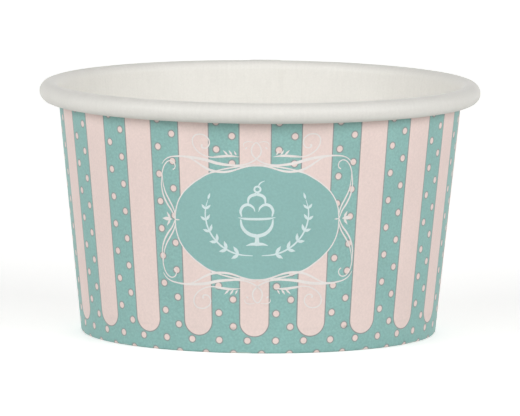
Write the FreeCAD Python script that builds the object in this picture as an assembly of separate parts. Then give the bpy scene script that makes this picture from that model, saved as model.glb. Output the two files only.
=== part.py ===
# A paper dessert cup: a round, slightly tapered tub for one serving, made from two pieces of coated board.
# The sidewall is a fan-shaped blank wrapped into a cone. Its ends overlap in a side seam, its top edge is
# curled outwards into a rolled rim, and its bottom edge is folded inwards and up into a hem.
# The bottom disc has a turned-down edge, and that skirt is sealed inside the hem.
#
# Millimetres. The origin is on the table, under the middle of the cup. +Z is up, and the front faces -Y.
import FreeCAD, Part
import math
import os

from FreeCAD import Vector

# Overall sizes
rim_d = 90.0            # across the outside of the rolled rim
cup_height = 51.2       # from the table to the top of the rim
base_d = 72.5           # across the fold at the foot

# Sidewall
wall_t = 0.38           # thickness of its board
roll_d = 4.1            # thickness of the rolled rim
tuck_gap = 0.12         # air between the tucked edge of the roll and the wall
tuck_turn = 130.0       # degrees that the edge curls on from the lowest point of the roll
fold_press = 0.05       # how far the fold is pressed flat where it stands on the table

# Side seam, at the back
seam_angle = 90.0       # degrees from +X to the middle of the overlap
lap_width = 6.5         # overlap of the two ends, measured at the rim
jog_width = 1.8         # width over which the outer end steps up onto the inner one
rim_lap_step = 0.10     # how far the doubled board stands proud on the roll
rim_lap_start = 150.0   # degrees round the roll, from its outer side, where that step begins in the mouth

# Bottom disc
disc_t = 0.32           # thickness of its board
disc_height = 5.3       # from the table to the underside of the disc
disc_bend_r = 0.30      # inside radius of its turned-down edge
skirt_lift = 0.30       # height of the skirt's cut edge above the middle of the fold
hem_clearance = 0.30    # from the hem's cut edge up to where the disc begins to bend
seal_film = 0.02        # coating between faces that are sealed together

# Worked out from the sizes above
roll_r = roll_d / 2
roll_centre_r = rim_d / 2 - roll_r
roll_centre_z = cup_height - roll_r
tuck_r = roll_r - wall_t - tuck_gap
fold_in_r = disc_t / 2 + seal_film
fold_out_r = fold_in_r + wall_t
fold_centre_r = base_d / 2 - fold_out_r
fold_centre_z = fold_out_r - fold_press


def taper_angle():
    """The wall's slope: its printed face is tangent to the inside of the roll and the outside of the fold."""
    across = roll_centre_r - fold_centre_r
    up = roll_centre_z - fold_centre_z
    apart = roll_r - wall_t + fold_out_r
    return math.acos(apart / math.hypot(across, up)) - math.atan2(up, across)


taper = taper_angle()
cos_t = math.cos(taper)
sin_t = math.sin(taper)


def at(u, v):
    """A point of the section: u is measured square to the wall, outwards, and v up along it, from the roll's centre."""
    return Vector(roll_centre_r + u * cos_t + v * sin_t, 0, roll_centre_z - u * sin_t + v * cos_t)


def v_at_height(u, z):
    """How far along the wall the point with this u has the height z."""
    return (z - roll_centre_z + u * sin_t) / cos_t


def on_circle(centre_u, centre_v, radius, degrees):
    """A point on a circle of the section."""
    turn = math.radians(degrees)
    return at(centre_u + radius * math.cos(turn), centre_v + radius * math.sin(turn))


def arc(centre_u, centre_v, radius, first, last):
    """An arc of the section, from one angle to the other."""
    angles = (first, (first + last) / 2, last)
    return Part.Arc(*[on_circle(centre_u, centre_v, radius, a) for a in angles]).toShape()


def line(first, last):
    return Part.LineSegment(first, last).toShape()


def closed_face(edges):
    return Part.Face(Part.Wire(Part.__sortEdges__(edges)))


def turned(face, start, sweep):
    """The solid that a section makes when it turns about the cup's axis, from one angle and through another."""
    placed = face.copy()
    placed.rotate(Vector(0, 0, 0), Vector(0, 0, 1), start)
    return placed.revolve(Vector(0, 0, 0), Vector(0, 0, 1), sweep)


# The board's path: up the hem, round the fold, up the wall, over the roll and into the tuck
fold_u = -roll_r - fold_in_r
fold_v = v_at_height(fold_u, fold_centre_z)
hem_top_z = disc_height - disc_bend_r - hem_clearance
hem_top_v = v_at_height(fold_u, hem_top_z)
tuck_v = -(roll_r - tuck_r)
LOWEST = -90.0
INNER_SIDE = 180.0


def board_path(depth, with_roll):
    """The edges of one face of the board, depth mm from its white face, and the two ends of that line."""
    wall_u = -roll_r + depth
    hem_u = fold_u - fold_in_r - depth
    edges = [
        line(at(hem_u, hem_top_v), at(hem_u, fold_v)),
        arc(fold_u, fold_v, fold_in_r + depth, -INNER_SIDE, 0),
        line(at(wall_u, fold_v), at(wall_u, 0)),
    ]
    if not with_roll:
        return edges, at(hem_u, hem_top_v), at(wall_u, 0)
    edges.append(arc(0, 0, roll_r - depth, INNER_SIDE, LOWEST))
    edges.append(arc(0, tuck_v, tuck_r - depth, LOWEST, LOWEST - tuck_turn))
    end = on_circle(0, tuck_v, tuck_r - depth, LOWEST - tuck_turn)
    return edges, at(hem_u, hem_top_v), end


def board_section(near, far, with_roll):
    """The board between two depths, as a face."""
    near_edges, near_start, near_end = board_path(near, with_roll)
    far_edges, far_start, far_end = board_path(far, with_roll)
    caps = [line(near_start, far_start), line(near_end, far_end)]
    return closed_face(near_edges + far_edges + caps)


def lap_angles():
    """Where the outer end of the blank starts to overlap, and through how many degrees."""
    sweep = math.degrees(lap_width / roll_centre_r)
    return seam_angle - sweep / 2, sweep


def seam_lap():
    """The outer end of the blank, doubled over the inner one all the way down and round the fold."""
    start, sweep = lap_angles()
    return turned(board_section(wall_t / 2, 2 * wall_t, False), start, sweep)


def rim_lap():
    """The doubled board, where it shows as a low step over the roll."""
    start, sweep = lap_angles()
    low, high = roll_r - wall_t / 2, roll_r + rim_lap_step
    edges = [
        arc(0, 0, low, rim_lap_start, LOWEST),
        arc(0, 0, high, rim_lap_start, LOWEST),
        line(on_circle(0, 0, low, rim_lap_start), on_circle(0, 0, high, rim_lap_start)),
        line(on_circle(0, 0, low, LOWEST), on_circle(0, 0, high, LOWEST)),
    ]
    return turned(closed_face(edges), start, sweep)


def jog_wedge(foot_u, tip_u, top_v, bottom_v):
    """A thin wedge along the wall beside the lap: nothing at its far side, and from foot_u to tip_u at the lap."""
    start = lap_angles()[0]
    jog = math.degrees(jog_width / roll_centre_r)
    rings = []
    for v in (bottom_v, top_v):
        corners = []
        for u, angle in ((foot_u, start - jog), (foot_u, start), (tip_u, start)):
            point = FreeCAD.Rotation(Vector(0, 0, 1), angle).multVec(at(u, v))
            corners.append(point)
        rings.append(Part.makePolygon(corners + corners[:1]))
    return Part.makeLoft(rings, True, True)


def jog_ramp():
    """The ramp outside, where the outer end climbs onto the inner one."""
    printed_u = -roll_r + wall_t
    return jog_wedge(printed_u - wall_t / 2, printed_u + wall_t, 0, v_at_height(printed_u, 0))


def jog_groove():
    """The shallow groove inside, beside the inner end's cut edge. It stops above the bottom disc."""
    white_u = -roll_r
    mouth_u = white_u - wall_t / 2
    floor_v = v_at_height(mouth_u, disc_height + disc_t + disc_bend_r)
    return jog_wedge(mouth_u, white_u + wall_t / 2, 0, floor_v)


def below_table():
    """Everything under the table's plane, which the fold is pressed against."""
    slab = Part.makeCylinder(rim_d, cup_height)
    slab.translate(Vector(0, 0, -cup_height))
    return slab


def sidewall():
    """The wrapped blank: one piece of board with its rolled rim, side seam and folded hem."""
    body = turned(board_section(0, wall_t, True), seam_angle + INNER_SIDE, 360)
    body = body.fuse([seam_lap(), rim_lap(), jog_ramp()])
    return body.cut([jog_groove(), below_table()])


def bottom_disc():
    """The disc and its turned-down skirt, which lies between the wall and the hem."""
    skirt_out_u = -roll_r - seal_film
    skirt_in_u = skirt_out_u - disc_t
    bend_out_r = disc_bend_r + disc_t
    bend_u = skirt_out_u - bend_out_r
    bend_z = disc_height - disc_bend_r
    bend_v = v_at_height(bend_u, bend_z)
    centre = at(bend_u, bend_v)
    skirt_v = fold_v + skirt_lift
    taper_deg = math.degrees(taper)
    top_turn = 90.0 + taper_deg      # straight up, counted from square to the wall
    plate_top = Vector(centre.x, 0, disc_height + disc_t)
    plate_low = Vector(centre.x, 0, disc_height)
    axis_top = Vector(0, 0, disc_height + disc_t)
    axis_low = Vector(0, 0, disc_height)
    edges = [
        line(axis_low, axis_top),
        line(axis_top, plate_top),
        arc(bend_u, bend_v, bend_out_r, top_turn, 0),
        line(at(skirt_out_u, bend_v), at(skirt_out_u, skirt_v)),
        line(at(skirt_out_u, skirt_v), at(skirt_in_u, skirt_v)),
        line(at(skirt_in_u, skirt_v), at(skirt_in_u, bend_v)),
        arc(bend_u, bend_v, disc_bend_r, 0, top_turn),
        line(plate_low, axis_low),
    ]
    return turned(closed_face(edges), seam_angle + INNER_SIDE, 360)


os.makedirs("parts", exist_ok=True)
for name, shape in (("sidewall", sidewall()), ("bottom_disc", bottom_disc())):
    solids = shape.Solids
    print(name, "solids", len(solids), "valid", shape.isValid(), "mm3", round(shape.Volume, 1))
    kept = solids[0] if len(solids) == 1 else shape
    kept.exportStep("parts/" + name + ".step")
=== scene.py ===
# A paper dessert cup: a round tapered tub of coated board, printed in stripes and dots, with a white
# rolled rim. Metres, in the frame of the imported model: the cup stands on z = 0, its front faces -Y and
# its side seam is at +Y.
import bpy
import math
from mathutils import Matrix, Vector


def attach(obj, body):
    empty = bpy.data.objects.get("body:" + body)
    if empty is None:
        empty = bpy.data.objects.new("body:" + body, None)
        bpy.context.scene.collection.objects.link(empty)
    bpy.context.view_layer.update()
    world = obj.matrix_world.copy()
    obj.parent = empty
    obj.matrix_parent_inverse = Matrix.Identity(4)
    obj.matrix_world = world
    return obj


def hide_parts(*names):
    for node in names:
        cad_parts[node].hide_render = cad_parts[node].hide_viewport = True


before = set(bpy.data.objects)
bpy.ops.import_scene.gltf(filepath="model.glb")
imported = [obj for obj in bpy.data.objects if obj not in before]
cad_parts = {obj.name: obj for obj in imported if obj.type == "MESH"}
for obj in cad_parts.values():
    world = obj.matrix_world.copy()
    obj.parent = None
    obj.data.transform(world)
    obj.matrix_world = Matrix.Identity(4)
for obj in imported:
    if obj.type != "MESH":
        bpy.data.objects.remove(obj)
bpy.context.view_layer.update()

MM = 0.001

# Sizes in millimetres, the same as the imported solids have
RIM_D = 90.0            # across the outside of the rolled rim
CUP_HEIGHT = 51.2
BASE_D = 72.5           # across the fold at the foot
WALL_T = 0.38           # thickness of the sidewall's board
ROLL_R = 2.05           # of the rolled rim
TUCK_R = 1.55           # of the edge that is tucked inside it
TUCK_TURN = 130.0       # degrees that this edge curls on from the lowest point of the roll
FOLD_IN_R = 0.18        # inside radius of the fold at the foot
FOLD_PRESS = 0.05       # how far the fold is pressed flat where it stands on the table
DISC_T = 0.32           # thickness of the bottom disc's board
DISC_HEIGHT = 5.3       # from the table to the underside of the disc
DISC_BEND_R = 0.30      # inside radius of its turned-down edge
SKIRT_LIFT = 0.30       # height of the skirt's cut edge above the middle of the fold
HEM_CLEARANCE = 0.30    # from the hem's cut edge up to where the disc begins to bend
SEAL_FILM = 0.02        # coating between faces that are sealed together
SEAM_ANGLE = 90.0       # degrees from +X to the middle of the side seam's overlap
LAP_WIDTH = 6.5         # of that overlap, at the rim
JOG_WIDTH = 1.8         # over which the outer end of the blank steps up onto the inner one
RIM_STEP = 0.10         # how far the doubled board stands proud on the roll

# The section's own frame: u is square to the wall, outwards, and v runs up along it, from the roll's centre
ROLL_CENTRE = (RIM_D / 2 - ROLL_R, CUP_HEIGHT - ROLL_R)
FOLD_OUT_R = FOLD_IN_R + WALL_T
FOLD_CENTRE = (BASE_D / 2 - FOLD_OUT_R, FOLD_OUT_R - FOLD_PRESS)
ACROSS, UP = ROLL_CENTRE[0] - FOLD_CENTRE[0], ROLL_CENTRE[1] - FOLD_CENTRE[1]
TAPER = math.acos((ROLL_R - WALL_T + FOLD_OUT_R) / math.hypot(ACROSS, UP)) - math.atan2(UP, ACROSS)
COS_T, SIN_T = math.cos(TAPER), math.sin(TAPER)
PRINT_U = -ROLL_R + WALL_T      # the printed face of the wall
SLOPE = math.tan(TAPER)         # how the wall's radius grows with height
FOOT_RADIUS = ROLL_CENTRE[0] + PRINT_U * COS_T - (ROLL_CENTRE[1] - PRINT_U * SIN_T) * SLOPE
APEX_Z = -FOOT_RADIUS / SLOPE   # the height of the cone's point, far below the table
LAP_SWEEP = math.degrees(LAP_WIDTH / ROLL_CENTRE[0])
JOG_SWEEP = math.degrees(JOG_WIDTH / ROLL_CENTRE[0])


def at(u, v):
    """The point of the section, in metres, in the plane y = 0."""
    x = ROLL_CENTRE[0] + u * COS_T + v * SIN_T
    z = ROLL_CENTRE[1] - u * SIN_T + v * COS_T
    return Vector((x, 0, z)) * MM


def v_at_height(u, z):
    """How far along the wall the point with this u has the height z."""
    return (z - ROLL_CENTRE[1] + u * SIN_T) / COS_T


def section_of(point):
    """u and v of any point on the cup, in millimetres."""
    out = math.hypot(point.x, point.y) / MM - ROLL_CENTRE[0]
    rise = point.z / MM - ROLL_CENTRE[1]
    return out * COS_T - rise * SIN_T, out * SIN_T + rise * COS_T


def degrees_of(point):
    """How far round from +X a point is, from 0 to 360."""
    return math.degrees(math.atan2(point.y, point.x)) % 360


def wall_point(x, y, lift):
    """Where a point of the flat artwork lies once it is wrapped round the printed wall and lifted off it."""
    tilt = math.radians(PANEL_TILT)
    aside = PANEL_ASIDE + x * math.cos(tilt) - y * math.sin(tilt)
    reach = (PANEL_HEIGHT - APEX_Z) / COS_T + x * math.sin(tilt) + y * math.cos(tilt)
    turn = math.atan2(aside, reach) / SIN_T
    along = math.hypot(aside, reach)
    out = along * SIN_T + lift * COS_T
    return Vector((out * math.sin(turn), -out * math.cos(turn), APEX_Z + along * COS_T - lift * SIN_T)) * MM


PANEL_HEIGHT = 26.75    # of the panel's middle
PANEL_ASIDE = 0.42      # how far it is printed off the middle stripe
PANEL_TILT = 0.7        # degrees


# ---- materials ----

def linear(hex_colour):
    """An sRGB hex colour as linear RGBA."""
    parts = [int(hex_colour[i:i + 2], 16) / 255 for i in (0, 2, 4)]
    return [p / 12.92 if p <= 0.04045 else ((p + 0.055) / 1.055) ** 2.4 for p in parts] + [1.0]


def fill(material, node, inputs):
    """Links or sets a node's inputs. A plain number or colour goes on the socket itself."""
    for name, value in inputs.items():
        socket = node.inputs[name]
        if isinstance(value, bpy.types.Node):
            value = next(o for o in value.outputs if o.enabled)
        if isinstance(value, bpy.types.NodeSocket):
            material.node_tree.links.new(value, socket)
        elif isinstance(value, list):
            socket.default_value = value[:len(socket.default_value)]
        else:
            socket.default_value = value


def add(material, kind, inputs=None, **settings):
    """Adds a node to a material or to the world, with its settings and links. It returns the node."""
    node = material.node_tree.nodes.new("ShaderNode" + kind)
    for name, value in settings.items():
        setattr(node, name, value)
    fill(material, node, inputs or {})
    return node


def new_material(name):
    material = bpy.data.materials.new(name)
    material.use_nodes = True
    return material, material.node_tree.nodes["Principled BSDF"]


def away(material, across, along):
    """How far off a place is that lies this far across and this far along."""
    both = add(material, "CombineXYZ", {0: across, 1: along})
    return add(material, "VectorMath", {0: both}, operation="LENGTH").outputs["Value"]


def board_relief(material, fibre_mm, fibre_depth_mm, cloud_mm, cloud_depth_mm):
    """The board's fibre grain and its slow unevenness, as one bump. It returns the bump and both noises."""
    where = add(material, "TexCoord").outputs["Object"]
    grain = add(material, "TexNoise", {"Vector": where, "Scale": 1 / (fibre_mm * MM), "Detail": 3.0})
    cloud = add(material, "TexNoise", {"Vector": where, "Scale": 1 / (cloud_mm * MM), "Detail": 2.0})
    grain, cloud = grain.outputs["Fac"], cloud.outputs["Fac"]
    slow = add(material, "Bump", {"Height": cloud, "Strength": 1.0, "Distance": cloud_depth_mm * MM})
    fine = add(material, "Bump", {"Height": grain, "Strength": 1.0, "Distance": fibre_depth_mm * MM,
                                  "Normal": slow})
    return fine, grain, cloud


# width and depth of the fibres, then of the slow unevenness, in millimetres
PRINT_RELIEF = (0.45, 0.012, 9.0, 0.10)
WHITE_RELIEF = (0.40, 0.014, 8.0, 0.10)
CUT_RELIEF = (0.18, 0.02, 3.0, 0.03)
BLEED_RELIEF = (0.45, 0.012, 6.0, 0.05)


def mottled(material, colour, grain, cloud, fine_share, cloud_share):
    """The colour, lighter and darker by a small share with the grain and the slow unevenness."""
    shares = [add(material, "MapRange", {"Value": noise, 1: NOISE_LOW, 2: NOISE_HIGH,
                                         3: 1 - share, 4: 1 + share})
              for noise, share in ((grain, fine_share), (cloud, cloud_share))]
    both = add(material, "Math", {0: shares[0], 1: shares[1]}, operation="MULTIPLY")
    return add(material, "VectorMath", {0: colour, "Scale": both}, operation="SCALE").outputs[0]


NOISE_LOW, NOISE_HIGH = 0.3, 0.7    # nearly all of a noise lies between these
COATING_IOR = 1.5                   # of varnish, and of polyethylene film
VARNISH_ROUGH = (0.46, 0.62)
FILM_ROUGH = (0.42, 0.58)


def varnished(material, shader, colour, relief, grain):
    """The print's surface: matt ink under a thin satin varnish, which catches the light at a slant."""
    rough = add(material, "MapRange", {"Value": grain, 3: VARNISH_ROUGH[0], 4: VARNISH_ROUGH[1]})
    fill(material, shader, {"Base Color": colour, "Normal": relief, "Roughness": rough, "IOR": COATING_IOR,
                            "Coat Weight": 0.05, "Coat Roughness": 0.32, "Coat IOR": COATING_IOR})


# Colours, sRGB
TEAL = "88b4af"
FIELD_TEAL = "88b3af"
PINK = "e6d2cc"
INK_LINE = "8b7f80"
CREAM = "e7e1de"
PALE_TINT = "d4e4e4"
BOARD_WHITE = "eeece6"
DISC_WHITE = "e6e3dd"
CORE = "d8d0c2"


def off_stripes(material, turn, height, radius):
    """How far a point is from the edge of a stripe, in millimetres: less than nothing inside it."""
    nearest = add(material, "Math", {0: turn, 1: STRIPE_PITCH / 2, 2: -STRIPE_PITCH / 2}, operation="WRAP")
    aside = add(material, "Math", {0: nearest, 1: radius}, operation="MULTIPLY")
    above = add(material, "Math", {0: height, 1: STRIPE_END_Z}, operation="SUBTRACT")
    below = add(material, "Math", {0: above, 1: 0.0}, operation="MINIMUM")
    straight = add(material, "Math", {0: height, 1: STRIPE_END_Z}, operation="MAXIMUM")
    width_there = add(material, "Math", {0: straight, 1: SLOPE * STRIPE_HALF, 2: FOOT_RADIUS * STRIPE_HALF},
                      operation="MULTIPLY_ADD")
    return add(material, "Math", {0: away(material, aside, below), 1: width_there}, operation="SUBTRACT")


def off_dots(material, turn, height, radius):
    """The same for the dots, which stand in two sets of columns."""
    edges = []
    for column, first, rise in DOT_COLUMNS:
        turned = add(material, "Math", {0: turn, 1: column}, operation="SUBTRACT")
        nearest = add(material, "Math", {0: turned, 1: DOT_PITCH / 2, 2: -DOT_PITCH / 2}, operation="WRAP")
        aside = add(material, "Math", {0: nearest, 1: radius}, operation="MULTIPLY")
        lifted = add(material, "Math", {0: height, 1: first}, operation="SUBTRACT")
        row = add(material, "Math", {0: lifted, 1: rise / 2, 2: -rise / 2}, operation="WRAP")
        edges.append(add(material, "Math", {0: away(material, aside, row), 1: DOT_R}, operation="SUBTRACT"))
    return add(material, "Math", {0: edges[0], 1: edges[1]}, operation="MINIMUM")


STRIPE_PITCH = math.radians(18.0)
STRIPE_HALF = math.radians(4.43)
STRIPE_END_Z = 6.4          # where the stripes' rounded ends begin
DOT_R = 0.62
DOT_PITCH = math.radians(9.0)
# how far round from the stripe a column is, the height of its lowest dot, and the dots' spacing
DOT_COLUMNS = ((math.radians(-2.19), 2.63, 5.56), (math.radians(2.35), -0.08, 5.55))


def disc_crease(material, turn, height, radius, patches):
    """Where the bottom disc bears on the wall, a faint uneven crease shows, with a few short dents in it. It
    returns their depth, which gives their bump and also their painted shade.
    """
    off_level = add(material, "Math", {0: height, 1: CREASE_Z}, operation="SUBTRACT")
    distance = add(material, "Math", {0: off_level}, operation="ABSOLUTE")
    level = add(material, "MapRange", {"Value": distance, 1: 0.0, 2: DENT_HEIGHT, 3: 1.0, 4: 0.0},
                interpolation_type="SMOOTHSTEP")
    pressed = add(material, "MapRange", {"Value": patches, 1: 0.45, 2: 0.65,
                                         3: CREASE_LEAST, 4: CREASE_MOST})
    dent = add(material, "Math", {0: level, 1: pressed}, operation="MULTIPLY")
    for place, half_length, depth in DENTS:
        turned = add(material, "Math", {0: turn, 1: math.radians(place)}, operation="SUBTRACT")
        aside = add(material, "Math", {0: turned, 1: radius}, operation="MULTIPLY")
        aside = add(material, "Math", {0: aside, 1: DENT_HEIGHT / half_length}, operation="MULTIPLY")
        spot = add(material, "MapRange", {"Value": away(material, aside, off_level), 1: 0.0, 2: DENT_HEIGHT,
                                          3: depth, 4: 0.0}, interpolation_type="SMOOTHSTEP")
        dent = add(material, "Math", {0: dent, 1: spot}, operation="MAXIMUM")
    return dent


CREASE_Z = 5.05             # where the disc's skirt begins to bear on the wall
CREASE_LEAST, CREASE_MOST = 0.02, 0.15      # its depth, as a share of a dent's
DENT_HEIGHT = 0.42          # above and below the crease
DENT_DEPTH = 0.08
# degrees round from the front, half the length, and the share of the full depth
DENTS = ((-6.8, 0.9, 0.8), (30.0, 1.3, 1.0), (48.5, 0.7, 0.8))


def rubbed_fold(material, height, patches):
    """Where the print is rubbed, in places on the fold that stands on the table."""
    low = add(material, "MapRange", {"Value": height, 1: 0.05, 2: RUBBED_TOP, 3: 1.0, 4: 0.0})
    rubbed = add(material, "MapRange", {"Value": patches, 1: 0.44, 2: 0.34, 3: 0.0, 4: RUBBED_SHARE})
    return add(material, "Math", {0: low, 1: rubbed}, operation="MULTIPLY")


RUBBED_TOP = 0.40
RUBBED_SHARE = 0.6


def printed_board():
    """Bleached board, offset printed and coated: matt inks with crisp edges under a thin satin film."""
    material, shader = new_material("offset_printed_board")
    where = add(material, "TexCoord").outputs["Object"]
    x, y, z = add(material, "SeparateXYZ", {0: where}).outputs
    front = add(material, "Math", {0: y, 1: -1.0}, operation="MULTIPLY")
    turn = add(material, "Math", {0: x, 1: front}, operation="ARCTAN2")
    # the blank's print is a little longer than the wrap, so it does not quite meet itself at the seam
    turn = add(material, "Math", {0: turn, 1: 1 + SEAM_MISMATCH / 180}, operation="MULTIPLY")
    height = add(material, "Math", {0: z, 1: 1 / MM}, operation="MULTIPLY")
    radius = add(material, "Math", {0: height, 1: SLOPE, 2: FOOT_RADIUS}, operation="MULTIPLY_ADD")
    around = add(material, "Math", {0: turn, 1: BASE_D / 2}, operation="MULTIPLY")
    patches = add(material, "TexNoise", {"W": around, "Scale": 1 / PATCH_LENGTH, "Detail": 1.0},
                  noise_dimensions="1D").outputs["Fac"]
    off_stripe = off_stripes(material, turn, height, radius)
    off_dot = off_dots(material, turn, height, radius)
    dent = disc_crease(material, turn, height, radius, patches)
    worn = rubbed_fold(material, height, patches)

    relief, grain, cloud = board_relief(material, *PRINT_RELIEF)
    relief = add(material, "Bump", {"Height": dent, "Strength": 1.0, "Distance": -DENT_DEPTH * MM,
                                    "Normal": relief})
    # the solid teal takes to the board less evenly than the pink does
    colour = mottled(material, linear(TEAL), grain, cloud, fine_share=0.06, cloud_share=0.02)
    layers = (
        (off_dot, DOT_LINE, DOT_LINE_SOFT, 1.0, INK_LINE),
        (off_dot, 0.0, EDGE_SOFT, 1.0, PINK),
        (off_stripe, STRIPE_LINE, STRIPE_LINE_SOFT, STRIPE_LINE_SHARE, INK_LINE),
        (off_stripe, 0.0, EDGE_SOFT, 1.0, PINK),
    )
    for distance, edge, soft, share, tint in layers:
        there = add(material, "MapRange", {"Value": distance, 1: edge - soft, 2: edge + soft, 3: share, 4: 0.0},
                    interpolation_type="SMOOTHSTEP")
        colour = add(material, "Mix", {0: there, 6: colour, 7: linear(tint)}, data_type="RGBA").outputs[2]
    colour = add(material, "Mix", {0: worn, 6: colour, 7: linear(BOARD_WHITE)}, data_type="RGBA").outputs[2]
    # painted shade: the colour is darkened in the crease and the dents, as shade would fall in them, besides their
    # bump
    shade = add(material, "MapRange", {"Value": dent, 3: 1.0, 4: DENT_PAINTED_SHADE})
    colour = add(material, "VectorMath", {0: colour, "Scale": shade}, operation="SCALE").outputs[0]
    colour = mottled(material, colour, grain, cloud, fine_share=0.04, cloud_share=0.015)
    varnished(material, shader, colour, relief, grain)
    return material


SEAM_MISMATCH = 1.5         # degrees
PATCH_LENGTH = 7.0          # of the patches of crease and of rubbed fold, round the foot
STRIPE_LINE = 0.20          # the thin trap line reaches this far outside a stripe
STRIPE_LINE_SOFT = 0.14     # and fades over this much to each side of that
STRIPE_LINE_SHARE = 0.85
DOT_LINE = 0.16
DOT_LINE_SOFT = 0.24
EDGE_SOFT = 0.05
# painted shade in the crease and the dents
DENT_PAINTED_SHADE = 0.72           # what a dent leaves of the colour


def plain_board(name, colour, streaks=0.0):
    """Bleached board with a thin polyethylene film: off-white, soft and satin, the fibres just showing. With
    streaks, the roll is also given painted shade.
    """
    material, shader = new_material(name)
    relief, grain, cloud = board_relief(material, *WHITE_RELIEF)
    tint = mottled(material, linear(colour), grain, cloud, fine_share=0.02, cloud_share=0.012)
    if streaks:
        # the curl strains the board, which leaves faint creases square to the rim
        where = add(material, "TexCoord").outputs["Object"]
        x, y, z = add(material, "SeparateXYZ", {0: where}).outputs
        turn = add(material, "Math", {0: x, 1: y}, operation="ARCTAN2")
        round_mm = add(material, "Math", {0: turn, 1: RIM_D / 2 * MM}, operation="MULTIPLY")
        flat = add(material, "CombineXYZ", {0: round_mm, 1: z})
        squeeze = (1 / (STREAK_WIDTH * MM), 1 / (STREAK_LENGTH * MM), 1.0)
        squeezed = add(material, "Mapping", {"Vector": flat, "Scale": squeeze})
        crease = add(material, "TexNoise", {"Vector": squeezed, "Scale": 1.0, "Detail": 2.0}).outputs["Fac"]
        relief = add(material, "Bump", {"Height": crease, "Strength": 1.0, "Distance": streaks * MM,
                                        "Normal": relief})
        shade = add(material, "MapRange", {"Value": crease, 1: NOISE_LOW, 2: NOISE_HIGH,
                                           3: STREAK_DARKEST, 4: STREAK_LIGHTEST})
        tint = add(material, "VectorMath", {0: tint, "Scale": shade}, operation="SCALE").outputs[0]
        # painted shade: the roll is made a touch greyer than the flat wall, from just inside the roll to near its
        # middle, to stand in for the dimmer light on it
        roll_painted_shade = add(material, "MapRange", {"Value": away(material, x, y), 1: ROLL_PAINTED_SHADE_FROM * MM,
                                              2: ROLL_PAINTED_SHADE_TO * MM, 3: 1.0, 4: ROLL_PAINTED_SHADE})
        tint = add(material, "VectorMath", {0: tint, "Scale": roll_painted_shade}, operation="SCALE").outputs[0]
    rough = add(material, "MapRange", {"Value": grain, 3: FILM_ROUGH[0], 4: FILM_ROUGH[1]})
    fill(material, shader, {"Base Color": tint, "Normal": relief, "Roughness": rough, "IOR": COATING_IOR})
    return material


STREAK_WIDTH, STREAK_LENGTH = 0.7, 5.0
STREAK_DARKEST, STREAK_LIGHTEST = 0.985, 1.012
# painted shade on the roll: it fades in between these radii about the cup's axis, down to this share of the colour
ROLL_PAINTED_SHADE_FROM = ROLL_CENTRE[0] - ROLL_R - 0.4     # radii about the cup's axis
ROLL_PAINTED_SHADE_TO = ROLL_CENTRE[0] - 0.6
ROLL_PAINTED_SHADE = 0.865


def cut_edge():
    """The raw cut edge of the board: rough and fibrous, and a little darker than its coated faces."""
    material, shader = new_material("cut_board_edge")
    relief, grain, cloud = board_relief(material, *CUT_RELIEF)
    tone = mottled(material, linear(CORE), grain, cloud, fine_share=0.06, cloud_share=0.03)
    fill(material, shader, {"Base Color": tone, "Normal": relief, "Roughness": 0.85})
    return material


def bleed():
    """The end of the print, turned up inside the foot: teal that stops in a slightly uneven line on white."""
    material, shader = new_material("print_bleed_on_board")
    where = add(material, "TexCoord").outputs["Object"]
    z = add(material, "SeparateXYZ", {0: where}).outputs[2]
    relief, grain, cloud = board_relief(material, *BLEED_RELIEF)
    wander = add(material, "Math", {0: cloud, 1: BLEED_WANDER * MM, 2: z}, operation="MULTIPLY_ADD")
    there = add(material, "MapRange", {"Value": wander, 1: BLEED_TOP * MM, 2: (BLEED_TOP + BLEED_SOFT) * MM})
    colour = add(material, "Mix", {0: there, 6: linear(TEAL), 7: linear(DISC_WHITE)}, data_type="RGBA")
    tone = mottled(material, colour.outputs[2], grain, cloud, fine_share=0.03, cloud_share=0.02)
    fill(material, shader, {"Base Color": tone, "Normal": relief, "Roughness": 0.55})
    return material


BLEED_TOP = 2.9
BLEED_WANDER = 0.5
BLEED_SOFT = 0.06


def ink(name, colour, fine_share):
    """Offset ink on coated board: even and matt, with the board's grain showing through it."""
    material, shader = new_material(name)
    relief, grain, cloud = board_relief(material, *PRINT_RELIEF)
    tone = mottled(material, linear(colour), grain, cloud, fine_share, cloud_share=0.02)
    varnished(material, shader, tone, relief, grain)
    return material


# ---- making meshes ----

def clear_selection():
    if bpy.context.object and bpy.context.object.mode != "OBJECT":
        bpy.ops.object.mode_set(mode="OBJECT")
    bpy.ops.object.select_all(action="DESELECT")


def choose(piece):
    """Makes a piece the only one selected, and the active one."""
    clear_selection()
    piece.select_set(True)
    bpy.context.view_layer.objects.active = piece


def edit_all():
    """Goes into edit mode with the whole mesh selected."""
    bpy.ops.object.mode_set(mode="EDIT")
    bpy.ops.mesh.select_all(action="SELECT")


def turn_over():
    """Turns every face of the active piece the other way."""
    edit_all()
    bpy.ops.mesh.flip_normals()
    bpy.ops.object.mode_set(mode="OBJECT")


def pick(piece, wanted):
    """Selects the vertices that pass a test, in edit mode."""
    bpy.ops.object.mode_set(mode="OBJECT")
    mesh = piece.data
    for group in (mesh.polygons, mesh.edges, mesh.vertices):
        group.foreach_set("select", [False] * len(group))
    for vertex in mesh.vertices:
        vertex.select = wanted(vertex.co)
    bpy.ops.object.mode_set(mode="EDIT")
    bpy.ops.mesh.select_mode(type="VERT")


SAME = 0.002 * MM       # points nearer than this are one point
SLACK = 1e-4            # millimetres past a line of the section at which a point still counts as on it


def near(*points):
    """A test for being at one of these points."""
    return lambda co: any((co - point).length < SAME for point in points)


def stretch_to(piece, start, end, cuts=0):
    """Extrudes the vertex at start in a straight line to end, and may divide that line."""
    pick(piece, near(start))
    bpy.ops.mesh.extrude_region_move(TRANSFORM_OT_translate={"value": end - start})
    if cuts:
        pick(piece, near(start, end))
        bpy.ops.mesh.subdivide(number_cuts=cuts)


def bend(piece, start, centre, degrees, steps):
    """Carries the vertex at start round a centre, in the section's plane."""
    pick(piece, near(start))
    bpy.ops.mesh.spin(steps=steps, angle=math.radians(degrees), center=centre, axis=(0, 1, 0))


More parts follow.
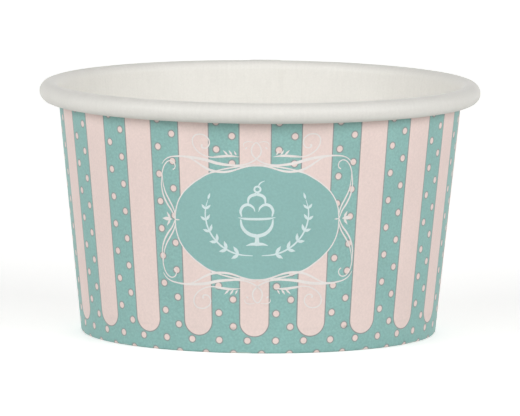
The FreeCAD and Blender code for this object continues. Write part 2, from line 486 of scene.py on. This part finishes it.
def arc_line(name, centre, radius, keep):
    """A circle of the section, standing at the centre, of which keep(u, v) says what stays."""
    clear_selection()
    bpy.ops.mesh.primitive_circle_add(vertices=ARC_STEPS, radius=radius * MM, location=centre,
                                      rotation=(math.pi / 2, TAPER, 0))
    piece = bpy.context.object
    piece.name = piece.data.name = name
    bpy.ops.object.transform_apply(location=True, rotation=True, scale=True)
    pick(piece, lambda co: not keep(*section_of(co)))
    bpy.ops.mesh.delete(type="VERT")
    return piece


ARC_STEPS = 48


def turn_section(piece, start, stages):
    """Turns the section about the cup's axis, stage by stage, and closes it. It ends in object mode."""
    edit_all()
    bpy.ops.object.mode_set(mode="OBJECT")
    piece.rotation_euler = (0, 0, math.radians(start))
    bpy.ops.object.transform_apply(location=False, rotation=True, scale=False)
    bpy.ops.object.mode_set(mode="EDIT")
    for sweep, steps in stages:
        bpy.ops.mesh.spin(steps=steps, angle=math.radians(sweep), center=(0, 0, 0), axis=(0, 0, 1))
    bpy.ops.mesh.select_all(action="SELECT")
    bpy.ops.mesh.remove_doubles(threshold=SAME)
    bpy.ops.mesh.normals_make_consistent(inside=False)
    bpy.ops.object.mode_set(mode="OBJECT")


def apply_modifier(piece, kind, **settings):
    modifier = piece.modifiers.new(kind.title(), kind)
    for name, value in settings.items():
        setattr(modifier, name, value)
    bpy.context.view_layer.objects.active = piece
    bpy.ops.object.modifier_apply(modifier=modifier.name)


def dress(piece, *materials):
    for material in materials:
        piece.data.materials.append(material)


def smooth(piece):
    """Shades a piece smooth, but for its real edges."""
    choose(piece)
    bpy.ops.object.shade_smooth_by_angle(angle=math.radians(EDGE_ANGLE))


EDGE_ANGLE = 35


def raise_by(piece, weight_of, distance):
    """Displaces vertices along their normals by a share of a distance in millimetres."""
    group = piece.vertex_groups.new(name="raised")
    for vertex in piece.data.vertices:
        weight = weight_of(vertex)
        if weight > 0:
            group.add([vertex.index], min(weight, 1.0), "REPLACE")
    apply_modifier(piece, "DISPLACE", strength=distance * MM, mid_level=0.0, vertex_group=group.name)
    piece.vertex_groups.clear()


def ramp(value, low, high):
    """0 below low, 1 above high, and straight between. high may be the lower of the two."""
    return min(max((value - low) / (high - low), 0.0), 1.0)


# ---- the sidewall ----

PRINTED, WHITE, CUT, HEM = 0, 1, 2, 3           # its material slots
HAIR = 0.03                                     # degrees over which a cut edge of the board steps
LAP_START = SEAM_ANGLE - LAP_SWEEP / 2
LAP_END = LAP_START + LAP_SWEEP
JOG_START = LAP_START - HAIR - JOG_SWEEP
FINE_ROWS = (8.0, 0.6)                          # v above the fold between which the wall has closer rows
RIM_FADE = (-1.2, -2.6)                         # v between which the lap thins towards the rim
RIM_SHARE = 0.2                                 # what is left of it there


def make_sidewall():
    """The middle of the board: the roll, down the wall, round the fold and up the hem, and the tuck."""
    half = WALL_T / 2
    fold_u = -ROLL_R - FOLD_IN_R
    fold_v = v_at_height(fold_u, FOLD_CENTRE[1])
    hem_u = fold_u - FOLD_IN_R - half
    hem_top = at(hem_u, v_at_height(fold_u, DISC_HEIGHT - DISC_BEND_R - HEM_CLEARANCE))
    wall_u = -ROLL_R + half

    piece = arc_line("sidewall_board", at(0, 0), ROLL_R - half, lambda u, v: v > -SLACK or u > -SLACK)
    stops = (0, *RIM_FADE, fold_v + FINE_ROWS[0], fold_v + FINE_ROWS[1], fold_v)
    for start, end, cuts in zip(stops, stops[1:], (0, 0, 6, 9, 0)):
        stretch_to(piece, at(wall_u, start), at(wall_u, end), cuts)
    bend(piece, at(wall_u, fold_v), at(fold_u, fold_v), degrees=-180, steps=10)
    stretch_to(piece, at(hem_u, fold_v), hem_top, cuts=7)
    bend(piece, at(0, -ROLL_R + half), at(0, TUCK_R - ROLL_R), degrees=-TUCK_TURN, steps=14)

    # round the cup to the seam, up the jog, a hair's step, across the lap, and a hair's step down
    rest = 360 - LAP_SWEEP - JOG_SWEEP - 2 * HAIR
    turn_section(piece, LAP_END + HAIR, ((rest, 348), (JOG_SWEEP, 4), (HAIR, 1), (LAP_SWEEP, 8), (HAIR, 1)))

    # the faces point away from the axis on the wall, so that the printed side is the first shell
    wall_faces = [f for f in piece.data.polygons if abs(section_of(f.center)[0] - wall_u) < 0.01]
    if sum(f.normal.x * f.center.x + f.normal.y * f.center.y for f in wall_faces) < 0:
        turn_over()
    return piece


def finish_sidewall(piece):
    """Gives the board its thickness, its side seam, the pressed foot and the knurled hem, and its materials."""
    dress(piece, printed_board(), plain_board("coated_white_board", BOARD_WHITE, streaks=0.03),
          cut_edge(), bleed())
    apply_modifier(piece, "SOLIDIFY", thickness=WALL_T * MM, offset=0.0, use_even_offset=True,
                   material_offset=WHITE, material_offset_rim=CUT)
    side = [PRINTED] * len(piece.data.vertices)
    for face in piece.data.polygons:
        if face.material_index == WHITE:
            for index in face.vertices:
                side[index] = WHITE
    step = HAIR / 3

    def outer_end(vertex):
        """1 where the outer end of the blank lies on the inner one, less on its ramp and under the rim."""
        turn, (u, v) = degrees_of(vertex.co), section_of(vertex.co)
        if side[vertex.index] != PRINTED or v > 0 or turn > LAP_END + step or u > PRINT_U + 0.1:
            return 0.0
        return ramp(turn, JOG_START, LAP_START - HAIR) * (RIM_SHARE + (1 - RIM_SHARE) * ramp(v, *RIM_FADE))

    def groove(vertex):
        """The same inside, beside the inner end's cut edge."""
        turn, (u, v) = degrees_of(vertex.co), section_of(vertex.co)
        above_disc = vertex.co.z / MM > DISC_HEIGHT + DISC_T
        if side[vertex.index] != WHITE or v > 0 or not above_disc or turn > LAP_START - step:
            return 0.0
        return ramp(turn, JOG_START, LAP_START - HAIR)

    def rim_step(vertex):
        """1 on the roll where the board is doubled."""
        turn, (u, v) = degrees_of(vertex.co), section_of(vertex.co)
        on_roll = side[vertex.index] == WHITE and math.hypot(u, v) > ROLL_R - 0.03 and (v > 1.0 or u > 0)
        return 1.0 if on_roll and LAP_START - step < turn < LAP_END + step else 0.0

    def knurl(vertex):
        """1 on every other column of the hem, pressed in by the roller that seals it."""
        turn, (u, v) = degrees_of(vertex.co), section_of(vertex.co)
        hem_face = side[vertex.index] == PRINTED and u < -ROLL_R - FOLD_IN_R - WALL_T / 2
        in_band = KNURL_LOW < vertex.co.z / MM < KNURL_HIGH
        in_lap = JOG_START - 1 < turn < LAP_END + 1
        return 1.0 if hem_face and in_band and round(turn) % 2 == 0 and not in_lap else 0.0

    raise_by(piece, outer_end, WALL_T)
    raise_by(piece, groove, -WALL_T)
    raise_by(piece, rim_step, RIM_STEP)
    raise_by(piece, knurl, -KNURL_DEPTH)

    # the foot is pressed flat on the table
    pick(piece, lambda co: co.z < 0)
    bpy.ops.transform.resize(value=(1, 1, 0), center_override=(0, 0, 0))
    bpy.ops.object.mode_set(mode="OBJECT")

    for face in piece.data.polygons:
        u, v = section_of(face.center)
        turn = degrees_of(face.center)
        if min(abs(turn - LAP_START + HAIR / 2), abs(turn - LAP_END - HAIR / 2)) < HAIR / 2:
            face.material_index = CUT
        elif face.material_index == PRINTED and u < -ROLL_R - FOLD_IN_R and v < -ROLL_R:
            face.material_index = HEM
    smooth(piece)


KNURL_LOW, KNURL_HIGH = 1.3, 4.2
KNURL_DEPTH = 0.07


# ---- the bottom disc ----

def make_disc():
    """The raised bottom: a disc whose edge is turned down into a skirt, which the hem holds."""
    half = DISC_T / 2
    skirt_u = -ROLL_R - SEAL_FILM - half
    bend_r = DISC_BEND_R + half
    bend_u = skirt_u - bend_r
    bend_at = at(bend_u, v_at_height(bend_u, DISC_HEIGHT - DISC_BEND_R))
    bend_v = section_of(bend_at)[1]
    piece = arc_line("bottom_board", bend_at, bend_r,
                     lambda u, v: u > bend_u - SLACK and v > bend_v - SLACK)
    fold_v = v_at_height(-ROLL_R - FOLD_IN_R, FOLD_CENTRE[1])
    stretch_to(piece, at(skirt_u, bend_v), at(skirt_u, fold_v + SKIRT_LIFT))
    top_z = (DISC_HEIGHT + half) * MM
    edge = max((v.co for v in piece.data.vertices), key=lambda co: co.z).copy()
    start = Vector((bend_at.x, 0, top_z))
    stretch_to(piece, edge, start)
    stretch_to(piece, start, Vector((0, 0, top_z)), cuts=15)
    turn_section(piece, 0, ((360, 240),))
    if sum(f.normal.z * f.area for f in piece.data.polygons) < 0:
        turn_over()
    dress(piece, plain_board("coated_white_board_bottom", DISC_WHITE), cut_edge())
    apply_modifier(piece, "SOLIDIFY", thickness=DISC_T * MM, offset=0.0, use_even_offset=True,
                   material_offset_rim=1)
    smooth(piece)
    return piece


# ---- the printed panel ----
# Its artwork is drawn flat, as on the blank: millimetres from its middle, x to the right and y up.
# A pen stroke is a list of points, each with the stroke's width there.

# the field's outline, one quarter
FIELD = ((16.9, 0), (16.6, 2.6), (15.5, 5.1), (13.6, 7.2), (11.5, 8.8), (9.6, 9.9), (8.2, 10.3), (6.6, 10.4),
         (4.6, 10.7), (2.7, 11.3), (1.3, 11.62), (0, 11.68))

# the ribbon along the top, up to the loop in the middle, one half
RIBBON = ((19.75, 11.2, .1), (19.1, 12.05, .18), (18, 12.7, .24), (16.5, 13, .3), (14.75, 13.1, .38),
          (12.75, 13, .52), (10.25, 12.65, .6), (8, 12.1, .6), (5.75, 11.8, .5), (3.75, 11.75, .36),
          (2, 12.05, .3), (.75, 12.6, .3), (-.1, 13.2, .3), (-.85, 14.1, .3), (-.95, 15, .28), (-.6, 15.9, .26))
LOOP_TOP = (0, 16.4, .26)

# strokes drawn in each quarter
CORNERS = (
    ((15.5, 13, .1), (13.5, 12.8, .24), (12.2, 12.15, .32), (10.7, 11.25, .42), (9.2, 10.6, .48), (7.5, 10.35, .48),
     (6, 10.4, .44), (4.5, 10.75, .36), (3, 11.3, .26), (1.6, 11.8, .16), (.2, 12.1, .1)),
    ((9.5, 10.15, .08), (7.5, 10.7, .22), (6, 11.05, .3), (4.5, 11.35, .3), (3, 11.55, .22), (1.5, 11.7, .1)),
    ((17.35, 10.2, .24), (16.9, 10.55, .2), (16.85, 11.3, .22), (17.3, 11.85, .22), (18.1, 11.95, .22),
     (19, 11.25, .22), (19.6, 9.95, .22), (19.85, 8.25, .2), (19.9, 6.55, .22), (19.5, 4.75, .32),
     (18.6, 3, .36), (17.6, 1.6, .28), (16.95, .1, .18)),
    ((19.7, 9.05, .08), (19.55, 7.25, .18), (19, 5.35, .28), (18.2, 3.9, .32), (17.35, 2.4, .28), (16.9, 1, .2),
     (16.85, 0, .14)),
    ((3.4, 13.5, .08), (5.5, 13.5, .2), (7.5, 13.35, .24), (9.75, 13.35, .24), (11.25, 13.9, .26), (12.5, 15, .27),
     (13, 16.35, .27), (12.65, 17.4, .27), (11.5, 17.85, .27), (10.25, 17.55, .26), (9.5, 16.6, .25),
     (9.65, 15.6, .24), (10.35, 15.05, .26), (11.1, 15.4, .34), (10.95, 15.8, .38)),
    ((8.6, 13.5, .06), (7.2, 13.6, .24), (5.6, 13.75, .3), (3.8, 13.6, .06)),
    ((5.7, 13.8, .12), (6.1, 14.2, .42), (6.65, 14.75, .06)),
    ((4.85, 13.85, .12), (5.15, 14.25, .42), (5.5, 14.8, .06)),
    ((4, 13.85, .12), (4.2, 14.2, .36), (4.45, 14.7, .06)),
    ((2.5, 15.6, .08), (2.5, 16.2, .18), (1.8, 16.6, .2), (.6, 16.5, .12)),
    ((2.2, 15.1, .2), (2, 15.3, .36), (1.8, 15.5, .1)),
)

# strokes drawn at both sides: the bud
SIDES = (
    ((17.6, 0, .1), (18.3, 0, .7), (18.9, 0, .75), (19.75, 0, .06)),
    ((17.95, .1, .1), (18.3, .65, .5), (18.75, 1.4, .06)),
    ((17.95, -.1, .1), (18.3, -.65, .5), (18.75, -1.4, .06)),
    ((16.9, 0, .1), (16.4, 0, .3), (15.9, 0, .06)),
)

# the sundae glass in the panel's middle, one half
GLASS = (
    ((3.7, 1.05, .1), (2.4, .85, .45), (0, .75, .5)),
    ((3.25, .7, .25), (2.9, -.9, .6), (1.7, -2.2, .7), (0, -2.75, .75)),
    ((0, -2.7, .8), (.15, -3.5, .5), (.3, -4.2, .4)),
    ((2.2, -4.7, .1), (1.2, -4.4, .5), (0, -4.35, .75)),
    ((3.05, 1.25, .25), (3.2, 2.6, .55), (2.1, 3.7, .6), (.75, 3.2, .4), (.35, 2.3, .1)),
    ((1.75, 3.85, .25), (1.5, 5.2, .55), (0, 5.95, .65)),
)
CHERRY = ((.2, 6.25, .38), (.75, 6.7, .38), (.55, 7.3, .38), (-.1, 7.4, .38), (-.45, 6.9, .38), (-.2, 6.4, .38),
          (.2, 6.25, .38))
STALK = ((.3, 7.3, .2), (.7, 8.1, .28), (1.6, 8.6, .1))

# the leafy branch at each side of it
BRANCH = ((.9, -6.75, .14), (3.6, -6.5, .3), (6, -5.6, .34), (8, -4.1, .34), (9.5, -2.1, .32), (10.3, .2, .3),
          (10.4, 2.5, .24), (9.9, 4.5, .1))


def leaf(x, y, degrees, length, width):
    """A leaf as one short stroke, growing from a point in a direction."""
    ahead_x, ahead_y = math.cos(math.radians(degrees)), math.sin(math.radians(degrees))
    return [(x + ahead_x * length * share, y + ahead_y * length * share, width * swell)
            for share, swell in ((0.08, 0.15), (0.35, 0.85), (0.6, 0.9), (1.0, 0.08))]


def branch_leaves():
    """Leaves in pairs along the branch, smaller towards its tip."""
    leaves = []
    for step in range(1, len(BRANCH) - 1):
        (back_x, back_y), (x, y), (next_x, next_y) = [BRANCH[step + k][:2] for k in (-1, 0, 1)]
        heading = math.degrees(math.atan2(next_y - back_y, next_x - back_x))
        size = 1 - LEAF_SHRINK * step
        leaves.append(leaf(x, y, heading + LEAF_ANGLE, LEAF_UPPER * size, LEAF_WIDTH * size))
        leaves.append(leaf(x, y, heading - LEAF_ANGLE, LEAF_LOWER * size, LEAF_WIDTH * size))
    tip_x, tip_y = BRANCH[-1][:2]
    leaves.append(leaf(tip_x, tip_y, degrees=108, length=1.5, width=0.5))
    return leaves


LEAF_ANGLE = 42             # degrees from the branch
LEAF_UPPER, LEAF_LOWER, LEAF_WIDTH = 2.1, 1.9, 0.8
LEAF_SHRINK = 0.05          # from each pair to the next


def mirrored(stroke, across, upward):
    return [(x * across, y * upward, width) for x, y, width in stroke]


def place_curve(name, curve):
    """Puts a curve in the scene. It returns its object."""
    placed = bpy.data.objects.new(name, curve)
    bpy.context.scene.collection.objects.link(placed)
    return placed


def as_mesh(name, curve):
    """Puts a curve in the scene as a mesh."""
    choose(place_curve(name, curve))
    bpy.ops.object.convert(target="MESH")
    return bpy.context.object


def draw(name, strokes, material):
    """Pen strokes as thin ribbons of ink, wrapped onto the wall. Each lies a hair above the one before it."""
    nib = bpy.data.curves.new("nib", "CURVE")
    nib.dimensions = "3D"
    nib.splines.new("POLY").points.add(1)
    nib.splines[0].points[0].co = (-0.5, 0, 0, 1)
    nib.splines[0].points[1].co = (0.5, 0, 0, 1)
    nib_object = place_curve("nib", nib)

    line = bpy.data.curves.new(name, "CURVE")
    line.dimensions = "3D"
    line.twist_mode = "Z_UP"
    line.resolution_u = CURVE_STEPS
    line.bevel_mode = "OBJECT"
    line.bevel_object = nib_object
    for layer, stroke in enumerate(strokes):
        spline = line.splines.new("BEZIER")
        spline.bezier_points.add(len(stroke) - 1)
        for point, (x, y, width) in zip(spline.bezier_points, stroke):
            point.co = (x, y, layer * STROKE_LAYER)
            point.handle_left_type = point.handle_right_type = "AUTO"
            point.radius = width
    piece = as_mesh(name, line)
    bpy.data.objects.remove(nib_object)
    return wrap(piece, LINE_LIFT, material)


CURVE_STEPS = 8
STROKE_LAYER = 0.0006
INK_THICKNESS = 0.02
INK_SAME = 0.0004 * MM  # points of the ink nearer than this are one point
FIELD_LIFT = 0.012      # of the field's ink off the wall's own surface
LINE_LIFT = 0.036       # and of the lines', which lie over it


def wrap(piece, lift, material):
    """Bends flat artwork round the wall, and gives the film of ink its thickness."""
    for vertex in piece.data.vertices:
        vertex.co = wall_point(vertex.co.x, vertex.co.y, lift + vertex.co.z)
    dress(piece, material)
    choose(piece)
    edit_all()
    bpy.ops.mesh.remove_doubles(threshold=INK_SAME)
    bpy.ops.object.mode_set(mode="OBJECT")
    outwards = sum((f.normal.x * f.center.x + f.normal.y * f.center.y) * f.area for f in piece.data.polygons)
    apply_modifier(piece, "SOLIDIFY", thickness=INK_THICKNESS * MM, offset=1.0 if outwards > 0 else -1.0)
    edit_all()
    bpy.ops.mesh.normals_make_consistent(inside=False)
    bpy.ops.object.mode_set(mode="OBJECT")
    smooth(piece)
    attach(piece, "root")
    return piece


def make_field():
    """The panel's field: one flat shape, cut into narrow strips so that it bends round the wall."""
    upper = list(FIELD) + [(-x, y) for x, y in reversed(FIELD[:-1])]
    outline = upper + [(x, -y) for x, y in reversed(upper[1:-1])]
    line = bpy.data.curves.new("panel_field", "CURVE")
    line.dimensions = "2D"
    line.fill_mode = "BOTH"
    line.resolution_u = CURVE_STEPS
    spline = line.splines.new("BEZIER")
    spline.use_cyclic_u = True
    spline.bezier_points.add(len(outline) - 1)
    for point, (x, y) in zip(spline.bezier_points, outline):
        point.co = (x, y, 0)
        point.handle_left_type = point.handle_right_type = "AUTO"
    piece = as_mesh("panel_field", line)
    edit_all()
    bpy.ops.mesh.remove_doubles(threshold=1e-5)
    bpy.ops.mesh.dissolve_limited(angle_limit=math.radians(1))
    strips = int(FIELD[0][0] / FIELD_STRIP)
    for strip in range(-strips, strips + 1):
        bpy.ops.mesh.select_all(action="SELECT")
        bpy.ops.mesh.bisect(plane_co=(strip * FIELD_STRIP, 0, 0), plane_no=(1, 0, 0))
    bpy.ops.object.mode_set(mode="OBJECT")
    return wrap(piece, FIELD_LIFT, ink("offset_ink_field", FIELD_TEAL, fine_share=0.05))


FIELD_STRIP = 1.25


def make_panel():
    make_field()
    border = [(x, y, BORDER_WIDTH) for x, y in FIELD]
    border = border + mirrored(reversed(border[:-1]), -1, 1)
    border = border + mirrored(reversed(border[:-1]), 1, -1)
    ribbon = list(RIBBON) + [LOOP_TOP] + mirrored(reversed(RIBBON), -1, 1)
    scrolls = [border, ribbon, mirrored(ribbon, 1, -1)]
    for stroke in CORNERS:
        scrolls += [mirrored(stroke, across, upward) for across in (1, -1) for upward in (1, -1)]
    for stroke in SIDES:
        scrolls += [mirrored(stroke, across, 1) for across in (1, -1)]
    draw("panel_scrolls", scrolls, ink("offset_ink_cream", CREAM, fine_share=0.03))
    motif = [mirrored(stroke, across, 1) for stroke in (*GLASS, BRANCH, *branch_leaves()) for across in (1, -1)]
    draw("panel_motif", motif + [CHERRY, STALK], ink("offset_ink_pale_tint", PALE_TINT, fine_share=0.03))


BORDER_WIDTH = 0.24


# ---- build ----

sidewall = make_sidewall()
finish_sidewall(sidewall)
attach(sidewall, "root")
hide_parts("sidewall")

disc = make_disc()
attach(disc, "root")
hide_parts("bottom_disc")

make_panel()


# ---- camera, light and floor ----

def direction(turn, rise):
    """The way towards a place this many degrees round from straight ahead and up."""
    turn, rise = math.radians(turn), math.radians(rise)
    return Vector((math.cos(rise) * math.sin(turn), -math.cos(rise) * math.cos(turn), math.sin(rise)))


def facing(place, aim):
    return (aim - place).to_track_quat("-Z", "Y")


def camera():
    """A long lens, a little above the rim, turned a little so that the panel is left of the middle."""
    aim = Vector((0, 0, AIM_Z))
    place = aim + direction(*VIEW_FROM) * VIEW_DISTANCE
    data = bpy.data.cameras.new("camera")
    data.sensor_width = SENSOR
    data.lens = FOCAL_PIXELS / PICTURE_WIDTH * SENSOR
    data.clip_start, data.clip_end = 0.05, 20.0
    eye = bpy.data.objects.new("camera", data)
    bpy.context.scene.collection.objects.link(eye)
    looking = facing(place, aim)
    right, upward = looking @ Vector((1, 0, 0)), looking @ Vector((0, 1, 0))
    aim = aim + (right * AIM_OFF[0] - upward * AIM_OFF[1]) * VIEW_DISTANCE / FOCAL_PIXELS
    eye.location = place
    eye.rotation_euler = facing(place, aim).to_euler()
    eye.rotation_euler.rotate_axis("Z", VIEW_ROLL)
    bpy.context.scene.camera = eye


VIEW_FROM = (1.26, 6.62)    # degrees round and up
VIEW_DISTANCE = 1.8
VIEW_ROLL = 0.0072          # radians
AIM_Z = 0.0284
AIM_OFF = (0.82, 15.75)     # the aim stands this many pixels left of the picture's middle and above it
FOCAL_PIXELS = 8810
PICTURE_WIDTH = 520
SENSOR = 36.0


def background_rays(material):
    """1 for the rays that show the background itself: from the camera, in gloss or through something clear."""
    path = add(material, "LightPath").outputs
    seen = add(material, "Math", {0: path["Is Camera Ray"], 1: path["Is Glossy Ray"]}, operation="MAXIMUM")
    return add(material, "Math", {0: seen, 1: path["Is Transmission Ray"]}, operation="MAXIMUM")


def lamps():
    for azimuth, elevation, power, in_gloss in SOFTBOXES:
        data = bpy.data.lights.new("softbox", "AREA")
        data.shape = "RECTANGLE"
        data.size, data.size_y = SOFTBOX_SIZE
        data.energy = power
        softbox = bpy.data.objects.new("softbox", data)
        bpy.context.scene.collection.objects.link(softbox)
        softbox.location = MIDDLE + direction(azimuth, elevation) * SOFTBOX_DISTANCE
        softbox.rotation_euler = facing(softbox.location, MIDDLE).to_euler()
        softbox.visible_glossy = in_gloss


def tent():
    """A tent of white cloth all round, brighter low down, and plain white where it is seen."""
    world = bpy.data.worlds.new("studio")
    bpy.context.scene.world = world
    world.use_nodes = True
    height = add(world, "SeparateXYZ", {0: add(world, "TexCoord").outputs["Generated"]}).outputs[2]
    low = add(world, "Math", {0: 1.0, 1: height}, operation="SUBTRACT", use_clamp=True)
    falling = add(world, "Math", {0: low, 1: TENT_FALL}, operation="POWER")
    strength = add(world, "Math", {0: falling, 1: TENT_LOW, 2: TENT_ALL}, operation="MULTIPLY_ADD")
    cloth = add(world, "Background", {"Color": linear("ffffff"), "Strength": strength})
    white = add(world, "Background", {"Color": linear("ffffff"), "Strength": 1.0})
    mix = add(world, "MixShader", {0: background_rays(world), 1: cloth, 2: white})
    fill(world, world.node_tree.nodes["World Output"], {"Surface": mix})


def floor():
    """Matt off-white paper, which glows just enough to look white around the cup's shadow."""
    clear_selection()
    bpy.ops.mesh.primitive_plane_add(size=8.0, location=(0, 0, -FLOOR_GAP))
    paper = bpy.context.object
    paper.name = "floor"
    material, shader = new_material("floor_paper")
    glow = add(material, "Math", {0: background_rays(material), 1: FLOOR_GLOW}, operation="MULTIPLY")
    fill(material, shader, {"Base Color": linear("e6e6e4"), "Roughness": 0.9,
                            "Emission Color": linear("ffffff"), "Emission Strength": glow})
    dress(paper, material)


MIDDLE = Vector((0, 0, 0.03))
SOFTBOX_DISTANCE = 1.6
SOFTBOX_SIZE = (1.0, 0.8)
# degrees from straight ahead, degrees up, watts, and whether it shows in the gloss: the fills behind
# and above don't
SOFTBOXES = (
    (-59, 24, 11.0, True),
    (-26, 24, 3.7, True),
    (26, 24, 4.7, True),
    (59, 24, 10.9, True),
    (180, 14, 11.0, False),
    (0, 88, 1.0, False),
)
TENT_ALL = 0.07             # strength at the top
TENT_LOW = 0.40             # and how much more at the horizon
TENT_FALL = 2.5             # how fast that goes with height
FLOOR_GAP = 0.00002
FLOOR_GLOW = 0.47

camera()
lamps()
tent()
floor()
bpy.context.scene.view_settings.view_transform = "Standard"
